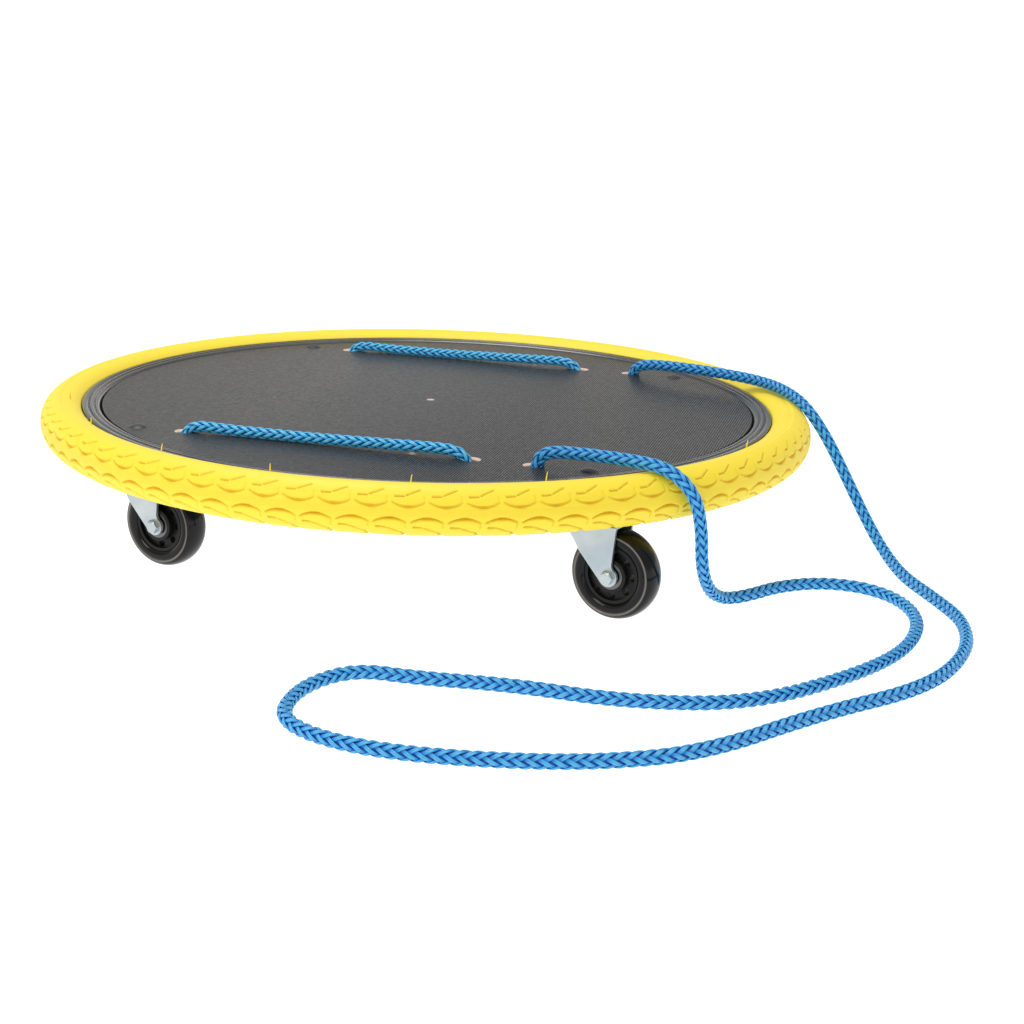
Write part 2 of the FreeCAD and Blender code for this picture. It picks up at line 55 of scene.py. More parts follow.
# The tyre's section, which its CAD solid has too.
TYRE_RING = 332.5 * MM
TYRE_SECTION = 20.5 * MM
TYRE_MID = 105.0 * MM


# ---------------------------------------------------------------- meshes


def add_mesh(name, verts, faces, material, smooth=True, uvs=None):
    """Make an object from arrays of points and of faces with one number of corners each."""
    mesh = bpy.data.meshes.new(name)
    groups = faces if isinstance(faces, list) else [faces]
    verts = np.asarray(verts, dtype=np.float32)
    corners = np.concatenate([np.asarray(g, dtype=np.int32).ravel() for g in groups])
    sizes = np.concatenate([np.full(len(g), len(g[0]), dtype=np.int32) for g in groups])
    starts = np.concatenate([[0], np.cumsum(sizes)[:-1]]).astype(np.int32)
    mesh.vertices.add(len(verts))
    mesh.vertices.foreach_set("co", verts.ravel())
    mesh.loops.add(len(corners))
    mesh.loops.foreach_set("vertex_index", corners)
    mesh.polygons.add(len(sizes))
    mesh.polygons.foreach_set("loop_start", starts)
    mesh.update(calc_edges=True)
    mesh.validate()
    mesh.polygons.foreach_set("use_smooth", np.full(len(mesh.polygons), smooth))
    if uvs is not None:
        layer = mesh.uv_layers.new(name="along")
        layer.data.foreach_set("uv", np.asarray(uvs, dtype=np.float32)[corners].ravel())
    mesh.materials.append(material)
    obj = bpy.data.objects.new(name, mesh)
    bpy.context.scene.collection.objects.link(obj)
    return obj


def grid_faces(rows, columns, wrap_rows=False, wrap_columns=False):
    """Quads between the points of a rows by columns grid, numbered row by row."""
    r = np.arange(rows if wrap_rows else rows - 1)
    c = np.arange(columns if wrap_columns else columns - 1)
    r, c = np.meshgrid(r, c, indexing="ij")
    r2, c2 = (r + 1) % rows, (c + 1) % columns
    return np.stack([r * columns + c, r2 * columns + c, r2 * columns + c2, r * columns + c2],
                    axis=-1).reshape(-1, 4)


def lathe(name, profile, material, place=None, steps=128, marks=None):
    """Turn (radius, height) points about Z, then move the result by a matrix."""
    profile = np.asarray(profile, dtype=float)
    turn = np.linspace(0, 2 * math.pi, steps, endpoint=False)
    verts = np.stack([
        profile[:, None, 0] * np.cos(turn)[None, :],
        profile[:, None, 0] * np.sin(turn)[None, :],
        np.repeat(profile[:, None, 1], steps, axis=1),
    ], axis=-1).reshape(-1, 3)
    if place is not None:
        verts = verts @ np.array(place.to_3x3()).T + np.array(place.translation)
    faces = grid_faces(len(profile), steps, wrap_rows=True, wrap_columns=True)
    uvs = None
    if marks is not None:
        uvs = np.stack([np.repeat(marks, steps), np.zeros(len(verts))], axis=1)
    return add_mesh(name, verts, faces[:, ::-1], material, uvs=uvs)


# ---------------------------------------------------------------- materials

# The print's lines are 2.07 mm apart, and a wave texture repeats every 2 pi / (20 * scale).
FILM_WAVE = 2 * math.pi / (20 * 2.07 * MM)
TYRE_YELLOW = (0.93, 0.72, 0.03)
# Painted shade: the tread's grooves are painted this deeper, darker yellow.
GROOVE_SHADE_YELLOW = (0.78, 0.46, 0.006)
# A plain material's patches of colour are this many grains across.
GRAINS_PER_PATCH = 12
# The yarns' fine threads, as radians of a sine across half a strand.
THREAD_RADIANS = 16.0
VENEER = 1.4 * MM
# Painted shade on the deck's outer edge, in the gap under the rim: it starts at one radius and is whole at
# the next.
EDGE_SHADE_FROM = 296 * MM
EDGE_SHADE_FULLY = 297 * MM
# A Mix node's sockets for colours, since several sockets share a name.
MIX_FIRST, MIX_SECOND, MIX_RESULT = 6, 7, 2


def new_material(name, color, roughness, **inputs):
    """A material with one Principled shader. Returns it with its nodes and links."""
    material = bpy.data.materials.new(name)
    material.use_nodes = True
    tree = material.node_tree
    shader = tree.nodes["Principled BSDF"]
    shader.inputs["Base Color"].default_value = (*color, 1.0)
    shader.inputs["Roughness"].default_value = roughness
    for key, value in inputs.items():
        shader.inputs[key.replace("_", " ")].default_value = value
    return material, tree, shader


def node(tree, kind, **values):
    """Add a node. Values set its properties, or its inputs where they start with a capital."""
    made = tree.nodes.new("ShaderNode" + kind)
    for key, value in values.items():
        if key[0].isupper():
            made.inputs[key.replace("_", " ")].default_value = value
        else:
            setattr(made, key, value)
    return made


def place_node(tree, scale=(1, 1, 1)):
    """The place of a point in its piece's own metres, scaled along each axis."""
    coordinates = node(tree, "TexCoord")
    mapping = node(tree, "Mapping")
    mapping.inputs["Scale"].default_value = scale
    tree.links.new(coordinates.outputs["Object"], mapping.inputs["Vector"])
    return mapping.outputs["Vector"]


def split(tree, vector):
    """The X, Y and Z of a vector."""
    parts = node(tree, "SeparateXYZ")
    tree.links.new(vector, parts.inputs[0])
    return parts.outputs


def mesh_marks(tree):
    """The two numbers that a mesh carries at each of its points: U as X, and V as Y."""
    return split(tree, node(tree, "TexCoord").outputs["UV"])


def maths(tree, operation, *values):
    """A sum of values that are each a number or another node's output."""
    made = node(tree, "Math", operation=operation)
    for socket, value in zip(made.inputs, values):
        if isinstance(value, (int, float)):
            socket.default_value = value
        else:
            tree.links.new(value, socket)
    return made.outputs[0]


def noise(tree, vector, scale, detail=3.0, rough=0.5):
    """Smooth noise from 0 to 1, with about scale lumps to a metre."""
    made = node(tree, "TexNoise", Scale=scale, Detail=detail, Roughness=rough)
    tree.links.new(vector, made.inputs["Vector"])
    return made.outputs["Fac"]


def spread(tree, value, low, high, start=0.0, end=1.0):
    """Remap a value that runs from start to end to one that runs from low to high."""
    made = node(tree, "MapRange", From_Min=start, From_Max=end, To_Min=low, To_Max=high)
    tree.links.new(value, made.inputs["Value"])
    return made.outputs["Result"]


def graded(tree, value, stops):
    """The colour that a value picks from a row of stops, each a value and its colour."""
    made = node(tree, "ValToRGB")
    elements = made.color_ramp.elements
    for at, _ in stops[1:-1]:
        elements.new(at)
    for element, (at, color) in zip(elements, stops):
        element.position = at
        element.color = (*color, 1.0)
    tree.links.new(value, made.inputs["Fac"])
    return made.outputs["Color"]


def tinted(tree, value, first, second):
    """A colour that runs from first to second as a value goes from 0 to 1."""
    return graded(tree, value, ((0.0, first), (1.0, second)))


def bumped(tree, shader, height, distance, strength=1.0):
    """Tilt the shader's normal by a height, of which 1 stands for a distance in metres."""
    made = node(tree, "Bump", Strength=strength, Distance=distance)
    tree.links.new(height, made.inputs["Height"])
    tree.links.new(made.outputs["Normal"], shader.inputs["Normal"])


def mottled(name, first, second, roughness, grain, depth, **inputs):
    """A plain material with slow colour variation, fine grain and uneven gloss."""
    material, tree, shader = new_material(name, first, roughness[0], **inputs)
    where = place_node(tree)
    slow = noise(tree, where, grain / GRAINS_PER_PATCH, 4.0)
    fine = noise(tree, where, grain, 3.0)
    tree.links.new(tinted(tree, slow, first, second), shader.inputs["Base Color"])
    tree.links.new(spread(tree, slow, *roughness), shader.inputs["Roughness"])
    bumped(tree, shader, fine, depth)
    return material


def film_material():
    """Dark phenolic film with the fine wire-mesh print that makes it grip. The print fades towards the
    rear, and as painted shade and light the film is painted darker towards the rear and lighter towards the
    front.
    """
    material, tree, shader = new_material("deck_film_mesh", (0.04, 0.038, 0.036), 0.42,
                                          Specular_IOR_Level=0.12, Coat_Weight=0.34,
                                          Coat_Roughness=0.2)
    where = place_node(tree)
    along = split(tree, where)["X"]
    # The print's strength: it fades towards the rear.
    print_strength = spread(tree, along, 0.25, 1.0, start=-0.12, end=0.1)
    # Painted shade and light: the film is painted darker towards the rear and lighter towards the front.
    painted_shade_ramp = spread(tree, along, 0.65, 1.25, start=-0.3, end=0.3)
    grain = noise(tree, where, 330.0, 4.0, 0.7)
    shade = maths(tree, "MULTIPLY", painted_shade_ramp, spread(tree, grain, -0.1, 1.9))
    for direction, depth in (("X", 1.0), ("Y", 0.35)):
        wave = node(tree, "TexWave", bands_direction=direction, Scale=FILM_WAVE, Distortion=0.3,
                    Detail=1.0, Detail_Scale=2.0)
        tree.links.new(where, wave.inputs["Vector"])
        lines = maths(tree, "MULTIPLY", spread(tree, wave.outputs["Fac"], depth, 0.0), print_strength)
        shade = maths(tree, "MULTIPLY", shade, maths(tree, "SUBTRACT", 1.0, lines))
    color = tinted(tree, shade, (0.001, 0.001, 0.001), (0.054, 0.052, 0.05))
    tree.links.new(color, shader.inputs["Base Color"])
    tree.links.new(spread(tree, shade, 0.75, 0.29), shader.inputs["Roughness"])
    bumped(tree, shader, shade, 0.3 * MM, 0.8)
    return material


def rope_material(name, blue, top):
    """Glossy blue polypropylene: each strand is a pair of yarns. Painted shade and highlight: the gaps and
    each strand's middle seam are painted dark, and the strands' outer crowns are painted the bright top
    colour.

    U is how far out from the rope's middle a point lies, and V is its place across a strand.
    """
    material, tree, shader = new_material(name, blue, 0.32)
    marks = mesh_marks(tree)
    slow = noise(tree, place_node(tree), 900.0, 2.0)
    threads = maths(tree, "SINE", maths(tree, "MULTIPLY", marks["Y"], THREAD_RADIANS))
    # Painted shade and highlight: the deeper in the rope a point lies, the darker its blue, and the
    # outermost crowns get the top colour as a painted highlight.
    color = graded(tree, marks["X"], ((0.64, (0.001, 0.015, 0.14)), (0.8, (0.004, 0.1, 0.5)),
                                      (0.9, blue), (0.99, top)))
    # Painted shade: each strand is painted darker along its middle, in the crease between its two yarns.
    seam_shade = spread(tree, maths(tree, "ABSOLUTE", marks["Y"]), 0.7, 1.0, end=0.3)
    seam_shaded = node(tree, "VectorMath", operation="SCALE")
    tree.links.new(color, seam_shaded.inputs[0])
    tree.links.new(seam_shade, seam_shaded.inputs["Scale"])
    tree.links.new(seam_shaded.outputs[0], shader.inputs["Base Color"])
    tree.links.new(spread(tree, slow, 0.22, 0.38), shader.inputs["Roughness"])
    bumped(tree, shader, maths(tree, "MULTIPLY", threads, slow), 0.35 * MM, 0.6)
    return material


def tyre_material():
    """Yellow rubber, with painted shade: it is painted a deeper, darker yellow down in the tread's grooves.
    U is how deep a point lies.
    """
    material, tree, shader = new_material("tyre_rubber", TYRE_YELLOW, 0.55)
    # Painted shade: the deeper a point lies in a groove, the darker the yellow it is painted.
    color = tinted(tree, mesh_marks(tree)["X"], TYRE_YELLOW, GROOVE_SHADE_YELLOW)
    tree.links.new(color, shader.inputs["Base Color"])
    where = place_node(tree)
    tree.links.new(spread(tree, noise(tree, where, 75.0, 4.0), 0.46, 0.62), shader.inputs["Roughness"])
    bumped(tree, shader, noise(tree, where, 900.0), 0.06 * MM)
    return material


def rim_material():
    """Satin black anodised alloy with the fine rings that its rolling leaves."""
    material, tree, shader = new_material("rim_satin", (0.12, 0.12, 0.125), 0.25, Metallic=0.7)
    where = place_node(tree)
    rings = node(tree, "TexWave", wave_type="RINGS", rings_direction="Z", Scale=160.0, Distortion=0.0)
    tree.links.new(where, rings.inputs["Vector"])
    slow = noise(tree, where, 14.0, 4.0)
    color = tinted(tree, slow, (0.08, 0.08, 0.083), (0.14, 0.14, 0.145))
    tree.links.new(color, shader.inputs["Base Color"])
    tree.links.new(spread(tree, slow, 0.16, 0.32), shader.inputs["Roughness"])
    bumped(tree, shader, rings.outputs["Fac"], 0.01 * MM, 0.2)
    return material


def wheel_material():
    """Smoky cast urethane, with a painted highlight: the lip of each flank, where U is 1, is painted pale.
    """
    material, tree, shader = new_material("smoky_urethane", (0.01, 0.01, 0.01), 0.12,
                                          Specular_IOR_Level=0.22)
    # Painted highlight: the lips are painted pale.
    color = tinted(tree, mesh_marks(tree)["X"], (0.006, 0.006, 0.007), (0.2, 0.185, 0.17))
    tree.links.new(color, shader.inputs["Base Color"])
    fine = noise(tree, place_node(tree), 60.0)
    tree.links.new(spread(tree, fine, 0.06, 0.18), shader.inputs["Roughness"])
    bumped(tree, shader, fine, 0.02 * MM)
    return material


def plywood_material():
    """Birch plywood: bare veneers in the drilled holes, and dark film on the faces. The outer edge is
    painted dark too, as painted shade in the gap under the rim.
    """
    material, tree, shader = new_material("birch_plywood", (0.62, 0.45, 0.28), 0.55)
    layers = maths(tree, "PINGPONG", split(tree, place_node(tree))["Z"], VENEER)
    veneer = spread(tree, layers, 0.0, 1.0, end=VENEER)
    grain = noise(tree, place_node(tree, scale=(6, 90, 90)), 4.0, 5.0)
    wood = tinted(tree, maths(tree, "MULTIPLY", veneer, grain), (0.6, 0.42, 0.29), (0.92, 0.76, 0.62))
    normal = node(tree, "NewGeometry").outputs["Normal"]
    flat = maths(tree, "ABSOLUTE", split(tree, normal)["Z"])
    from_middle = node(tree, "VectorMath", operation="LENGTH")
    tree.links.new(place_node(tree, scale=(1, 1, 0)), from_middle.inputs[0])
    # Painted shade: the outer edge is painted the dark film colour, for the shade in the gap under the rim.
    edge_shade = spread(tree, from_middle.outputs["Value"], 0.0, 1.0, start=EDGE_SHADE_FROM, end=EDGE_SHADE_FULLY)
    film = maths(tree, "GREATER_THAN", maths(tree, "ADD", flat, edge_shade), 0.7)
    slow = noise(tree, place_node(tree), 7.0, 5.0)
    dark = tinted(tree, slow, (0.035, 0.022, 0.016), (0.075, 0.05, 0.036))
    pick = node(tree, "Mix", data_type="RGBA")
    tree.links.new(film, pick.inputs["Factor"])
    tree.links.new(wood, pick.inputs[MIX_FIRST])
    tree.links.new(dark, pick.inputs[MIX_SECOND])
    tree.links.new(pick.outputs[MIX_RESULT], shader.inputs["Base Color"])
    tree.links.new(spread(tree, film, 0.62, 0.35), shader.inputs["Roughness"])
    bumped(tree, shader, grain, 0.2 * MM, 0.4)
    return material


materials = {
    "tyre": tyre_material(),
    "bare_wood": mottled("bare_wood", (0.74, 0.5, 0.37), (0.9, 0.66, 0.52), (0.5, 0.62), 900.0,
                         0.06 * MM),
    "film": film_material(),
    "rope": rope_material("rope_strands", (0.016, 0.31, 0.76), (0.085, 0.5, 0.86)),
    # Painted light: the handles are the same rope as the pull rope, painted a lighter blue where they lie
    # on the dark deck.
    "handle_painted_lighter": rope_material("handle_strands_painted_lighter", (0.03, 0.52, 1.0), (0.17, 0.72, 1.0)),
    "rim": rim_material(),
    "plywood": plywood_material(),
    "zinc": mottled("zinc_plate", (0.2, 0.32, 0.42), (0.74, 0.73, 0.69), (0.3, 0.46), 420.0,
                    0.04 * MM, Metallic=0.8),
    "bolt": mottled("black_oxide", (0.014, 0.014, 0.015), (0.03, 0.03, 0.032), (0.34, 0.42), 500.0,
                    0.04 * MM, Specular_IOR_Level=0.4),
    "bearing": mottled("bearing_steel", (0.09, 0.09, 0.09), (0.2, 0.2, 0.2), (0.2, 0.3), 400.0,
                       0.02 * MM, Metallic=1.0),
    "hub": mottled("hub_plastic", (0.004, 0.004, 0.004), (0.012, 0.012, 0.012), (0.32, 0.45), 700.0,
                   0.05 * MM, Specular_IOR_Level=0.2),
    "wheel": wheel_material(),
    "tube": mottled("tube_rubber", (0.02, 0.02, 0.02), (0.03, 0.03, 0.03), (0.5, 0.6), 600.0,
                    0.05 * MM),
}

FINISHES = {
    "deck": "plywood", "deck_film": "film", "rim": "rim", "rim_screws": "zinc", "inner_tube": "tube",
    "valve": "tube", "caster_top_race": "zinc", "swivel_bolt": "bolt", "swivel_nut": "zinc",
    "swivel_balls": "bearing", "fork": "zinc", "axle_bolt": "zinc", "axle_nut": "zinc",
    "axle_sleeve": "bearing", "bearings": "bearing", "wheel_hub": "hub", "wheel_tyre": "wheel",
    "tyre": "tyre", "handle_rope": "handle_painted_lighter", "rope_knot": "rope", "pull_rope": "rope",
}


def dress_frame():
    """Give every CAD node the material of its own kind."""
    for name, obj in frame["nodes"].items():
        kind = max((k for k in FINISHES if name.startswith(k)), key=len)
        obj.data.materials.clear()
        obj.data.materials.append(materials[FINISHES[kind]])


# ---------------------------------------------------------------- tyre

# The tread repeats this many times round the tyre. The plain walls have one step for every COARSE
# steps of the tread.
PITCHES = 79
STEPS_PER_PITCH = 40
COARSE = 10
# Distances across the tread are measured round the tyre's section, from the tread's middle line,
# which lies TREAD_LIFT above the tyre's widest line.
TREAD_LIFT = 2.2 * MM
TREAD_HALF = 28.6 * MM
# Past TREAD_EDGE the shoulder drops to the plain walls, which end at LIP_ANGLE, inside the rim.
TREAD_EDGE = 26.6 * MM
SHOULDER_WIDTH = 1.2 * MM
SHOULDER_DROP = 0.9 * MM
LIP_ANGLE = math.radians(141)
# Fine ribs run along the tread's middle, and the cups start past them.
RIB_HALF = 3.2 * MM
RIB_PITCH = 1.6 * MM
RIB_DEPTH = 0.28 * MM
SIDE_START = 3.8 * MM
ROWS_PER_SIDE = 41
WALL_ROWS = 12
# The lower half's grooves are cut this much deeper than the upper half's.
LOWER_DEEPER = 1.5
# How far a groove's wall takes to reach its depth, and the depth at which the painted shade in the grooves
# is darkest.
GROOVE_WALL = 0.55 * MM
FULL_SHADE_DEPTH = 2.2 * MM
# One pitch of the tread, from the pitch's middle and from the tread's middle line: a cup, whose
# half width is a share of the pitch, and the straight strokes past it, as (round, across) points.
CUP_HALF_SHARE = 0.43
CUP_TIP = 4.6 * MM
CUP_RISE = 3.3 * MM
STEM_LEAN = 0.4 * MM
STEM_END = 12.6 * MM
DASH = ((-10.2 * MM, 12.6 * MM), (-3.8 * MM, 12.8 * MM))
TAIL = ((-1.6 * MM, 13.6 * MM), (8.4 * MM, 18.6 * MM))
NOTCH = (TAIL[1], (12.5 * MM, 27.5 * MM))
NOTCH_WIDENS_FROM = 19.4 * MM


def groove(distance, width):
    """How much of a groove's depth is cut at a distance from its middle line."""
    return np.clip((0.5 * width - distance) / GROOVE_WALL + 0.5, 0.0, 1.0)


def stroke(u, v, ends, depth, width):
    """The depth that a straight groove between two ends cuts at points (u, v)."""
    start, end = np.array(ends)
    along = end - start
    share = ((u - start[0]) * along[0] + (v - start[1]) * along[1]) / along.dot(along)
    share = np.clip(share, 0.0, 1.0)
    away = np.hypot(u - start[0] - share * along[0], v - start[1] - share * along[1])
    return depth * groove(away, width)


def tread_depth(u, v, pitch, notched):
    """The depth cut at (u, v) on one side: u runs round the tyre, v from the tread's middle."""
    half = CUP_HALF_SHARE * pitch
    radius = (half ** 2 + CUP_RISE ** 2) / (2 * CUP_RISE)
    top = CUP_TIP + CUP_RISE
    stem = ((half, top), (half - STEM_LEAN, STEM_END))
    cuts = []
    for middle in (-0.5 * pitch, 0.5 * pitch, 1.5 * pitch):
        x = u - middle
        out = np.abs(x) / half
        arc = np.abs(np.hypot(x, v - CUP_TIP - radius) - radius)
        ends = np.minimum(np.hypot(x + half, v - top), np.hypot(x - half, v - top))
        arc = np.where((out <= 1.0) & (v < CUP_TIP + radius), arc, ends)
        # The cup's groove gets deeper and wider toward its tip.
        swell = np.clip(1.0 - out, 0.0, 1.0)
        cuts.append((0.9 + 1.2 * swell) * MM * groove(arc / (0.8 + 0.6 * swell), 1.5 * MM))
        cuts.append(stroke(x, v, stem, depth=0.5 * MM, width=1.1 * MM))
        cuts.append(stroke(x, v, DASH, depth=1.5 * MM, width=1.4 * MM))
        cuts.append(stroke(x, v, TAIL, depth=1.2 * MM, width=1.2 * MM))
        if notched:
            width = 1.4 * MM + 0.35 * np.clip(v - NOTCH_WIDENS_FROM, 0.0, 8 * MM)
            cuts.append(stroke(x, v, NOTCH, depth=2.5 * MM, width=width))
    return np.maximum.reduce(cuts)


def tyre_surface(across, sinking, turn):
    """Points on the tyre, from the distance across its tread and how deep they lie."""
    angle = (across + TREAD_LIFT) / TYRE_SECTION
    radius = TYRE_SECTION - sinking
    reach = TYRE_RING + radius * np.cos(angle)
    high = np.broadcast_to(TYRE_MID + radius * np.sin(angle), (len(across), turn.shape[1]))
    return np.stack([reach * np.cos(turn), reach * np.sin(turn), high], axis=-1)


def build_tyre():
    """The casing with its moulded tread: cups and ticks in two rows, half a pitch apart."""
    around = PITCHES * STEPS_PER_PITCH
    outer = TYRE_RING + TYRE_SECTION
    pitch = 2 * math.pi * outer / PITCHES
    turn = np.linspace(0, 2 * math.pi, around, endpoint=False)
    rib = np.arange(-4, 5) * 0.5 * RIB_PITCH
    side = np.linspace(SIDE_START, TREAD_HALF, ROWS_PER_SIDE)
    rows = np.concatenate([-side[::-1], rib, side])
    v, u = np.meshgrid(rows, turn * outer, indexing="ij")
    upper = tread_depth(np.mod(u, pitch), np.maximum(v, 0.0), pitch, notched=False)
    lower = tread_depth(np.mod(u + 0.5 * pitch, pitch), np.maximum(-v, 0.0), pitch, notched=True)
    ribs = 0.5 * RIB_DEPTH * (1 - np.cos(v / RIB_PITCH * 2 * math.pi)) * (np.abs(v) < RIB_HALF)
    shoulder = SHOULDER_DROP * np.clip((np.abs(v) - TREAD_EDGE) / SHOULDER_WIDTH, 0.0, 1.0)
    carved = np.where(v > 0, upper, lower * LOWER_DEEPER) + ribs
    tread = tyre_surface(v, carved + shoulder, turn[None, :])

    lip = LIP_ANGLE * TYRE_SECTION
    over = np.linspace(TREAD_HALF, lip - TREAD_LIFT, WALL_ROWS + 1)[1:]
    under = np.linspace(-TREAD_HALF, -lip - TREAD_LIFT, WALL_ROWS + 1)[1:]
    wall_rows = np.concatenate([over, under[::-1]])
    coarse_turn = turn[::COARSE]
    walls = tyre_surface(wall_rows[:, None], SHOULDER_DROP, coarse_turn[None, :])
    # Painted shade: each point's depth in the grooves is carried as U, which paints it darker.
    depth = np.clip(carved.ravel() / FULL_SHADE_DEPTH, 0.0, 1.0)
    uvs = np.zeros((len(depth) + walls.size // 3, 2))
    uvs[:len(depth), 0] = depth

    fine_faces = grid_faces(len(rows), around, wrap_columns=True)[:, ::-1]
    count = len(coarse_turn)
    first_wall = len(rows) * around
    wall_faces = grid_faces(len(wall_rows), count, wrap_columns=True)[:, ::-1] + first_wall
    # A join is one face, with COARSE edges on the tread's side and one edge on the wall's side.
    joins = []
    for fine_row, wall_row, order in ((len(rows) - 1, 0, 1), (0, len(wall_rows) - 1, -1)):
        for k in range(count):
            fine = [fine_row * around + (k * COARSE + j) % around for j in range(COARSE + 1)]
            wall = [first_wall + wall_row * count + (k + 1) % count, first_wall + wall_row * count + k]
            joins.append((fine + wall)[::order])
    piece = add_mesh("tyre_casing", np.concatenate([tread.reshape(-1, 3), walls.reshape(-1, 3)]),
                     [fine_faces, wall_faces, joins], materials["tyre"], uvs=uvs)
    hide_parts("tyre")
    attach(piece, "board")


def build_rim():
    """The rim: one closed section, with two grooves rolled into each of its faces."""
    # Points of (radius, height from the tyre's middle) in mm, from the tyre in to the deck.
    half = [(316.5, 12.0), (316.5, 13.4), (315.9, 14.0), (311.9, 13.9), (311.5, 13.5), (311.2, 12.0),
            (309.9, 12.0), (309.6, 13.6), (309.2, 13.95), (306.9, 13.9), (306.5, 13.5), (306.2, 12.2),
            (305.2, 12.2), (304.9, 13.2), (304.4, 13.5), (302.2, 13.2), (301.2, 11.8), (299.5, 8.4)]
    inside = [(301.6, 7.7), (303.6, 10.8)]
    profile = [(r * MM, TYRE_MID + h * MM) for r, h in half]
    profile += [(r * MM, TYRE_MID - h * MM) for r, h in reversed(half)]
    profile += [(r * MM, TYRE_MID - h * MM) for r, h in reversed(inside)]
    profile += [(r * MM, TYRE_MID + h * MM) for r, h in inside]
    rim = lathe("rim_rolled", profile, materials["rim"], steps=360)
    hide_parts("rim")
    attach(rim, "board")


HAIRS = 19
HAIR_SIDES = 6
HAIR_BOW = 0.6 * MM
# A hair's radius by the share of its length.
HAIR_RADII = ((0.0, 0.65 * MM), (0.5, 0.55 * MM), (1.0, 0.3 * MM))
FIRST_HAIR = -132.5


def build_hairs():
    """Vent hairs: thin spikes of rubber that the mould left on the upper sidewall's near side."""
    rng = random.Random(4)
    root = TYRE_SECTION - 0.5 * MM
    verts, quads, caps = [], [], []
    for i in range(HAIRS):
        turn = math.radians(FIRST_HAIR + 360 / HAIRS * i + rng.uniform(-0.5, 0.5))
        if math.sin(turn) > -0.3:
            continue
        high = math.radians(112 + rng.uniform(-5, 5))
        reach = TYRE_RING + root * math.cos(high)
        start = Vector((reach * math.cos(turn), reach * math.sin(turn), TYRE_MID + root * math.sin(high)))
        lean = Vector((rng.uniform(-0.08, 0.08), rng.uniform(-0.08, 0.08), 1.0)).normalized()
        length = rng.uniform(5.6, 7.2) * MM
        base = len(verts)
        across = lean.orthogonal().normalized()
        for share, radius in HAIR_RADII:
            middle = start + lean * (share * length) + across * (share ** 2 * HAIR_BOW)
            for k in range(HAIR_SIDES):
                spoke = Matrix.Rotation(2 * math.pi * k / HAIR_SIDES, 3, lean) @ across
                verts.append(middle + spoke * radius)
        for ring in range(len(HAIR_RADII) - 1):
            first = base + ring * HAIR_SIDES
            for k in range(HAIR_SIDES):
                a, b = first + k, first + (k + 1) % HAIR_SIDES
                quads.append([a, b, b + HAIR_SIDES, a + HAIR_SIDES])
        tip = base + (len(HAIR_RADII) - 1) * HAIR_SIDES
        caps += [[tip, tip + k, tip + k + 1] for k in range(1, HAIR_SIDES - 1)]
    piece = add_mesh("tyre_vent_hairs", verts, [quads, caps], materials["tyre"])
    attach(piece, "board")


# ---------------------------------------------------------------- holes

# The deck's holes, in mm. Six are for the ropes.
ROPE_HOLES_X = (-154, 99, 150)
ROPE_HOLES_Y = 205
ROPE_HOLE_RADIUS = 8.0
OTHER_HOLES = ((48, -205, 4.0), (48, 205, 4.0), (0, 0, 3.75))
# The bare edge starts just under the film's top and just inside the hole's wall. Its foot reaches
# in to a share of the hole's radius.
EDGE_TOP = 116.95
EDGE_FOOT = 113.0
EDGE_GAP = 0.05
EDGE_REACH = 0.78


def build_hole_edges():
    """The bare wood that shows in each hole's mouth, where the drill has broken the film."""
    holes = [(x, y, ROPE_HOLE_RADIUS) for x in ROPE_HOLES_X for y in (-ROPE_HOLES_Y, ROPE_HOLES_Y)]
    holes += OTHER_HOLES
    for k, (x, y, radius) in enumerate(holes):
        wall = radius - EDGE_GAP
        profile = [(wall, EDGE_TOP), (wall, EDGE_FOOT), (EDGE_REACH * radius, EDGE_FOOT)]
        edge = lathe(f"hole_edge_{k}", [(r * MM, h * MM) for r, h in profile], materials["bare_wood"],
                     Matrix.Translation((x * MM, y * MM, 0)), steps=36)
        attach(edge, "board")


# ---------------------------------------------------------------- ropes

# The pull rope's route, in the board's own frame: the same points as the CAD tube's.
PULL_ROPE = [
    (152, -205, 105), (153, -205, 120), (162, -206, 130), (190, -208, 131), (230, -217, 132),
    (263, -226, 131), (285, -226, 113), (291, -216, 82), (292, -210, 48), (296, -185, 21),
    (305, -152, 5), (323, -135, 5), (344, -102, 5), (378, -78, 5), (416, -78, 5), (447, -103, 5),
    (464, -153, 5), (456, -223, 5), (422, -291, 5), (355, -374, 5), (269, -400, 5), (188, -396, 5),
    (120, -406, 5), (73, -405, 5), (49, -445, 5), (51, -496, 5), (76, -522, 5), (128, -535, 5),
    (201, -527, 5), (276, -505, 5), (338, -466, 5), (401, -377, 5), (473, -300, 5), (501, -217, 5),
    (499, -142, 5), (473, -86, 5), (445, -34, 5), (425, 20, 11), (407, 41, 32), (387, 49, 65),
    (365, 54, 102), (344, 67, 126), (322, 104, 132), (290, 148, 132), (242, 172, 132), (195, 185, 132),
    (165, 198, 129), (153, 204, 120), (152, 205, 105),
]
CURVE_STEPS = 24
STRANDS_EACH_WAY = 6
STRAND_SIDES = 8
BRAID_LEAD = 52.0 * MM
# A strand of a rope BRAID_SIZE across: how far out it runs, how far it weaves in and out, and half
# its thickness and its width. A thinner rope has thinner strands.
BRAID_SIZE = 12.0 * MM
STRAND = (4.3 * MM, 0.9 * MM, 0.95 * MM, 1.7 * MM)
CORE_SHARE = 0.36
PULL_BRAID = 10.9 * MM
HANDLE_BRAID = 9.6 * MM
KNOT_BRAID = 9.5 * MM


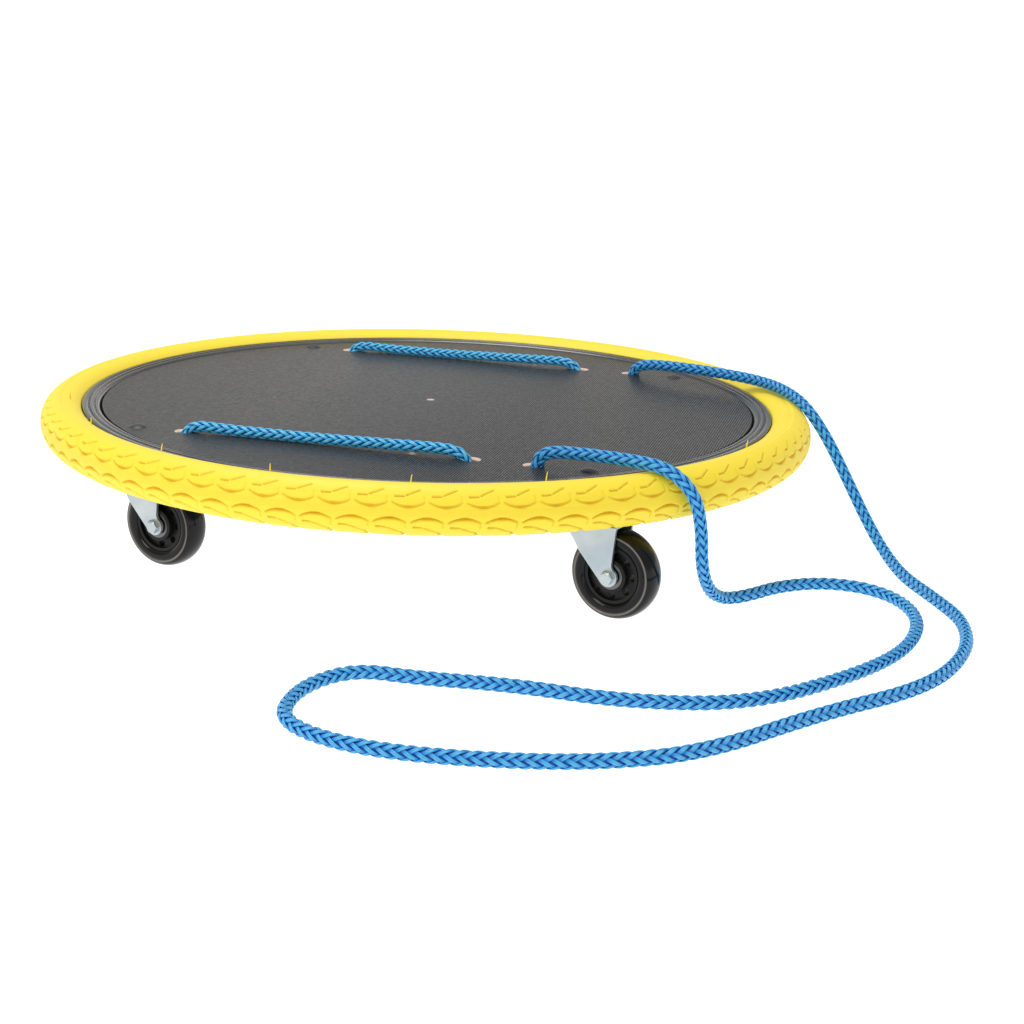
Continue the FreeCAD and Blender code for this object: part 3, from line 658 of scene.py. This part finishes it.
def spline_line(points):
    """Points along a NURBS spline with control points given in mm."""
    curve = bpy.data.curves.new("route", "CURVE")
    curve.dimensions = "3D"
    spline = curve.splines.new("NURBS")
    spline.points.add(len(points) - 1)
    for control, at in zip(spline.points, points):
        control.co = (*(c * MM for c in at), 1.0)
    spline.order_u = 3
    spline.use_endpoint_u = True
    spline.resolution_u = CURVE_STEPS
    holder = bpy.data.objects.new("route", curve)
    bpy.context.scene.collection.objects.link(holder)
    scene_now = bpy.context.evaluated_depsgraph_get()
    mesh = bpy.data.meshes.new_from_object(holder.evaluated_get(scene_now))
    line = np.zeros(len(mesh.vertices) * 3)
    mesh.vertices.foreach_get("co", line)
    bpy.data.objects.remove(holder)
    bpy.data.curves.remove(curve)
    bpy.data.meshes.remove(mesh)
    return line.reshape(-1, 3)


def even_line(line, step):
    """The same line with its points about a step apart, and each point's distance along it."""
    lengths = np.concatenate([[0.0], np.cumsum(np.linalg.norm(np.diff(line, axis=0), axis=1))])
    keep = np.concatenate([[True], np.diff(lengths) > 1e-9])
    line, lengths = line[keep], lengths[keep]
    count = int(round(lengths[-1] / step)) + 1
    at = np.linspace(0.0, lengths[-1], count)
    return np.stack([np.interp(at, lengths, line[:, k]) for k in range(3)], axis=1), at


def frames_along(line):
    """Two unit normals at each point of a line, which turn as little as they can along it."""
    tangents = np.gradient(line, axis=0)
    tangents /= np.linalg.norm(tangents, axis=1)[:, None]
    first = np.cross(tangents[0], (0.0, 0.0, 1.0))
    if np.linalg.norm(first) < 0.1:
        first = np.cross(tangents[0], (0.0, 1.0, 0.0))
    normals = [first / np.linalg.norm(first)]
    for t in tangents[1:]:
        n = normals[-1] - t * np.dot(normals[-1], t)
        normals.append(n / np.linalg.norm(n))
    normals = np.array(normals)
    return normals, np.cross(tangents, normals)


def tube_mesh(rings, start):
    """Verts, quads and end caps of one tube from its rings, numbered from start."""
    count, sides = rings.shape[:2]
    faces = grid_faces(count, sides, wrap_columns=True) + start
    last = start + (count - 1) * sides
    caps = [[start + k for k in range(sides)][::-1], [last + k for k in range(sides)]]
    return rings.reshape(-1, 3), faces, caps


def braid(name, line, diameter, finish="rope", step=1.8 * MM, turn=0.0):
    """A plaited rope: strands wind both ways, over two and under two, round a soft core.

    Turn is how far the plait is turned round the line. Returns the piece and the line it follows.
    """
    line, at = even_line(line, step)
    normals, sidewise = frames_along(line)
    middle, wave, thick, wide = (diameter / BRAID_SIZE * size for size in STRAND)
    waves = STRANDS_EACH_WAY / 2
    spokes = np.linspace(0, 2 * math.pi, STRAND_SIDES, endpoint=False)
    verts, faces, caps, uvs = [], [], [], []
    total = 0

    def add(rings, place_across):
        """Add one tube to the rope, with its marks."""
        nonlocal total
        points, quads, ends = tube_mesh(rings, total)
        verts.append(points)
        faces.append(quads)
        caps.extend(ends)
        # U, how far out a point lies, picks the rope's painted shade and highlight.
        outness = np.linalg.norm(rings - line[:, None, :], axis=2) / (0.5 * diameter)
        marks = np.stack([outness, np.broadcast_to(place_across, outness.shape)], axis=-1)
        uvs.append(marks.reshape(-1, 2))
        total += len(points)

    for way in (1, -1):
        for k in range(STRANDS_EACH_WAY):
            theta = way * 2 * math.pi * at / BRAID_LEAD + 2 * math.pi * k / STRANDS_EACH_WAY
            reach = middle + way * wave * np.cos(waves * theta - math.pi / 4)
            theta = theta + turn
            out = np.cos(theta)[:, None] * normals + np.sin(theta)[:, None] * sidewise
            centre = line + reach[:, None] * out
            along = np.gradient(centre, axis=0)
            along /= np.linalg.norm(along, axis=1)[:, None]
            across = np.cross(along, out)
            across /= np.linalg.norm(across, axis=1)[:, None]
            up = np.cross(across, along)
            rings = (centre[:, None, :] + thick * np.cos(spokes)[None, :, None] * up[:, None, :]
                     + wide * np.sin(spokes)[None, :, None] * across[:, None, :])
            add(rings, np.sin(spokes)[None, :])
    core = (line[:, None, :]
            + CORE_SHARE * diameter * (np.cos(spokes)[None, :, None] * normals[:, None, :]
                                       + np.sin(spokes)[None, :, None] * sidewise[:, None, :]))
    add(core, np.zeros((1, STRAND_SIDES)))
    return add_mesh(name, np.concatenate(verts), [np.concatenate(faces), caps], materials[finish],
                    uvs=np.concatenate(uvs)), line


def build_ropes():
    """The pull rope, the two handles and the knot that joins them."""
    rope, line = braid("pull_rope_braid", spline_line(PULL_ROPE), PULL_BRAID)
    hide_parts("pull_rope")
    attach(rope, "board")
    for side, word in ((1, "left"), (-1, "right")):
        y = ROPE_HOLES_Y * side
        # From the knot under the deck, up through one hole, along the deck and down through the next.
        route = [(-154, 14 * side, 88), (-154, 100 * side, 88), (-154, 185 * side, 88), (-156, y, 89),
                 (-156, y, 106), (-151, y, 117.5), (-141, y, 123), (-115, y, 121.7), (-80, y, 121.6),
                 (-48, y, 121.6), (-20, y, 122), (30, y, 122.9), (64, y, 123.6), (82, y, 123.6),
                 (94, y, 119), (97, y, 106), (97, y, 87), (125, y, 87), (152, y, 87), (152, y, 105)]
        handle_painted_lighter, _ = braid("handle_rope_braid_" + word, spline_line(route), HANDLE_BRAID, "handle_painted_lighter", turn=0.5)
        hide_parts("handle_rope_" + word)
        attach(handle_painted_lighter, "board")
    build_knot()


def build_knot():
    """The knot under the deck where the handles' ends meet: a trefoil that fills its CAD box."""
    low, high = (Vector(corner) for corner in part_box("rope_knot"))
    middle = (low + high) / 2
    half = (high - low) / 2 - Vector((5.5 * MM, 5.5 * MM, 6.0 * MM))
    turn = np.linspace(0, 2 * math.pi, 97)
    x = np.sin(turn) + 2 * np.sin(2 * turn)
    y = np.cos(turn) - 2 * np.cos(2 * turn)
    z = -np.sin(3 * turn)
    line = np.stack([middle.x + x / 3 * half.x, middle.y + y / 3 * half.y, middle.z + z * half.z], axis=1)
    knot, _ = braid("rope_knot_braid", line, KNOT_BRAID, step=1.4 * MM)
    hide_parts("rope_knot")
    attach(knot, "board")


# ---------------------------------------------------------------- wheels


def axle_place(corner):
    """The matrix that takes Z to a wheel's axle and the origin to its middle."""
    joint = JOINTS["spin_" + corner]
    axis = Vector(joint["axis"])
    turn = axis.to_track_quat("Z", "Y").to_matrix().to_4x4()
    return Matrix.Translation(Vector(joint["pos_m"])) @ turn


def arc_points(centre, radii, start, end, count):
    """Points on an ellipse's arc, by angles in degrees."""
    turn = np.radians(np.linspace(start, end, count))
    return [(centre[0] + radii[0] * math.cos(t), centre[1] + radii[1] * math.sin(t)) for t in turn]


def build_wheel(corner):
    """The cast urethane tyre with its round tread and the fine mould ridge on each flank, whose lip carries
    a painted highlight.
    """
    place = axle_place(corner)
    # Points of (radius, distance from the wheel's middle) in mm, from the hub out.
    flank = [(23.5, 9.5), (24.6, 10.6), (26.2, 11.5), (27.5, 11.9), (29.8, 11.9), (30.5, 11.6)]
    lip = [(31.2, 11.4), (31.7, 11.55), (32.2, 12.0), (32.7, 12.0), (33.2, 11.75)]
    crown = arc_points((32.0, 0.0), (5.5, 11.9), 74, 0, 15)
    half = flank + lip + crown
    # Painted highlight: how pale each lip point is painted.
    lip_painted_highlight = [0.3, 1.0, 1.0, 0.5, 0.0]
    painted_highlight = [0.0] * len(flank) + lip_painted_highlight + [0.0] * len(crown)
    profile = [(r * MM, h * MM) for r, h in half]
    profile += [(r, -h) for r, h in reversed(profile[:-1])]
    marks = painted_highlight + painted_highlight[-2::-1]
    tyre = lathe("wheel_tyre_cast_" + corner, profile, materials["wheel"], place, marks=marks)
    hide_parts("wheel_tyre_" + corner)
    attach(tyre, "wheel_" + corner)


# ---------------------------------------------------------------- camera, light and floor

FLOOR_REACH = 30
FLOOR_GLOW = 1.25
# The sky's grey levels, by the Z of a direction.
SKY = ((0.08, 1.4), (0.2, 0.55), (0.5, 0.5), (0.95, 0.85))
# Each lamp's name, place, width and power. They all face LIT_POINT.
LAMPS = (
    ("softbox_top", (-0.6, 0.4, 2.4), 1.1, 25.0),
    ("softbox_front", (-0.8, -2.5, 1.7), 1.2, 20.0),
)
LIT_POINT = (0.1, -0.1, 0.05)
# The camera's place and the point it faces, its roll in radians, and its lens and sensor in mm.
CAMERA_PLACE = (0.4582, -1.484, 0.4518)
CAMERA_AIM = (0.1592, -0.3028, 0.105)
CAMERA_ROLL = 0.0355
LENS = 59.42
SENSOR = 36.0


def build_stage():
    """A glowing white floor, a grey sky and two soft lamps."""
    glow = new_material("floor_white", (0.02, 0.02, 0.02), 0.9, Emission_Color=(1, 1, 1, 1),
                        Emission_Strength=FLOOR_GLOW)[0]
    corners = [(-1, -1), (1, -1), (1, 1), (-1, 1)]
    floor = add_mesh("floor", [(x * FLOOR_REACH, y * FLOOR_REACH, 0) for x, y in corners], [[[0, 1, 2, 3]]],
                     glow, smooth=False)
    world = bpy.data.worlds.new("studio")
    bpy.context.scene.world = world
    world.use_nodes = True
    tree = world.node_tree
    height = split(tree, node(tree, "TexCoord").outputs["Generated"])["Z"]
    sky = graded(tree, height, [(at, (level, level, level)) for at, level in SKY])
    tree.links.new(sky, tree.nodes["Background"].inputs["Color"])
    for name, place, size, power in LAMPS:
        lamp = bpy.data.lights.new(name, "AREA")
        lamp.energy = power
        lamp.size = size
        holder = bpy.data.objects.new(name, lamp)
        holder.location = place
        toward = Vector(LIT_POINT) - Vector(place)
        holder.rotation_euler = toward.to_track_quat("-Z", "Y").to_euler()
        bpy.context.scene.collection.objects.link(holder)


def build_camera():
    """The camera, turned about its own line of sight by the roll."""
    lens = bpy.data.cameras.new("camera")
    lens.lens = LENS
    lens.sensor_width = SENSOR
    lens.clip_end = 100.0
    camera = bpy.data.objects.new("camera", lens)
    toward = Vector(CAMERA_AIM) - Vector(CAMERA_PLACE)
    turn = toward.to_track_quat("-Z", "Y").to_matrix() @ Matrix.Rotation(CAMERA_ROLL, 3, "Z")
    camera.matrix_world = Matrix.Translation(CAMERA_PLACE) @ turn.to_4x4()
    bpy.context.scene.collection.objects.link(camera)
    bpy.context.scene.camera = camera
    bpy.context.scene.view_settings.view_transform = "Standard"


dress_frame()
build_tyre()
build_rim()
build_hairs()
build_hole_edges()
build_ropes()
for corner in CORNERS:
    build_wheel(corner)
build_stage()
build_camera()
